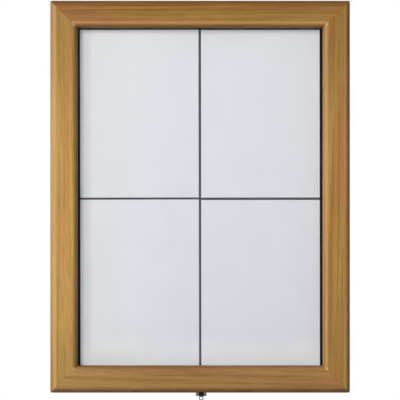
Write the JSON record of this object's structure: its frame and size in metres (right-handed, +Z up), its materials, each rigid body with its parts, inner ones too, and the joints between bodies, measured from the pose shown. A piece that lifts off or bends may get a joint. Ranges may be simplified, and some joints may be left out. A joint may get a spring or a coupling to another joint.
{
  "type": "information display case",
  "caption": "Flat wall-hung display case in stained wood: top-hung lockable glazed door, dark board with sheets of paper behind it, prop stay and key",
  "frame": {"origin": "middle of the case's back face, on the wall, which is also the middle of the wall-screw pattern", "axes": "+Z up, +X to the right seen from the front, +Y from the front into the wall"},
  "size_m": [0.525, 0.05, 0.701],
  "materials": {
    "case_wood": "stained pine, satin lacquer",
    "door_wood": "stained pine, satin lacquer",
    "bead_wood": "stained pine, satin lacquer",
    "panel_board": "thin plywood, untreated",
    "board_paint": "dark grey matt powder coat",
    "paper": "plain white office paper",
    "seal_foam": "black foam tape",
    "gasket_rubber": "black flat rubber",
    "pane_clear": "clear, polished",
    "cradle_plastic": "black nylon",
    "lock_chrome": "polished chrome plate",
    "key_steel": "nickel plated",
    "screw_steel": "zinc plated",
    "plated_steel": "zinc plated"
  },
  "bodies": {
    "case": {"case_top_board": "case_wood", "case_bottom_board": "case_wood", "case_left_side": "case_wood", "case_right_side": "case_wood", "corner_angles": "plated_steel", "corner_angle_screws": "screw_steel", "back_panel": "panel_board", "back_panel_screws": "screw_steel", "display_board": "board_paint", "display_board_screws": "screw_steel", "sheet_upper_left": "paper", "sheet_upper_right": "paper", "sheet_lower_left": "paper", "sheet_lower_right": "paper", "door_seal": "seal_foam", "hinge_left_case_leaf": "plated_steel", "hinge_right_case_leaf": "plated_steel", "hinge_case_screws": "screw_steel", "hinge_left_pin": "plated_steel", "hinge_right_pin": "plated_steel", "lock_keeper": "plated_steel", "lock_keeper_screws": "screw_steel", "stay_bracket": "plated_steel", "stay_bracket_screws": "screw_steel", "stay_clip": "plated_steel", "stay_clip_screw": "screw_steel"},
    "door": {"door_top_rail": "door_wood", "door_bottom_rail": "door_wood", "door_left_stile": "door_wood", "door_right_stile": "door_wood", "corner_plates": "plated_steel", "corner_plate_screws": "screw_steel", "clear_pane": "pane_clear", "pane_gasket": "gasket_rubber", "glazing_bead_top": "bead_wood", "glazing_bead_bottom": "bead_wood", "glazing_bead_left": "bead_wood", "glazing_bead_right": "bead_wood", "glazing_bead_screws": "screw_steel", "hinge_left_door_leaf": "plated_steel", "hinge_right_door_leaf": "plated_steel", "hinge_door_screws": "screw_steel", "lock_barrel": "lock_chrome", "lock_nut": "lock_chrome", "stay_cradle": "cradle_plastic", "stay_cradle_screws": "screw_steel"},
    "lock": {"lock_plug": "lock_chrome", "lock_cam": "plated_steel", "lock_cam_screw": "screw_steel"},
    "key": {"key": "key_steel"},
    "stay": {"stay_rod": "plated_steel", "stay_rings": "plated_steel"}
  },
  "joints": [
    {"name": "door_hinge", "type": "hinge", "parent": "case", "child": "door", "pos_m": [0, -0.0215, 0.341], "axis": [-1, 0, 0], "range_deg": [0, 80]},
    {"name": "stay_swing", "type": "hinge", "parent": "case", "child": "stay", "pos_m": [0.2385, -0.0105, 0.08131], "axis": [-1, 0, 0], "range_deg": [0, 131.17]},
    {"name": "lock_turn", "type": "hinge", "parent": "door", "child": "lock", "pos_m": [0.002, -0.0365, -0.33], "axis": [0, 0, -1], "range_deg": [0, 90]},
    {"name": "key_pull", "type": "slide", "parent": "lock", "child": "key", "axis": [0, 0, -1], "range_m": [0, 0.026]}
  ],
  "couplings": [
    {"joint": "stay_swing", "follows": "door_hinge", "ratio": 1.6395}
  ]
}
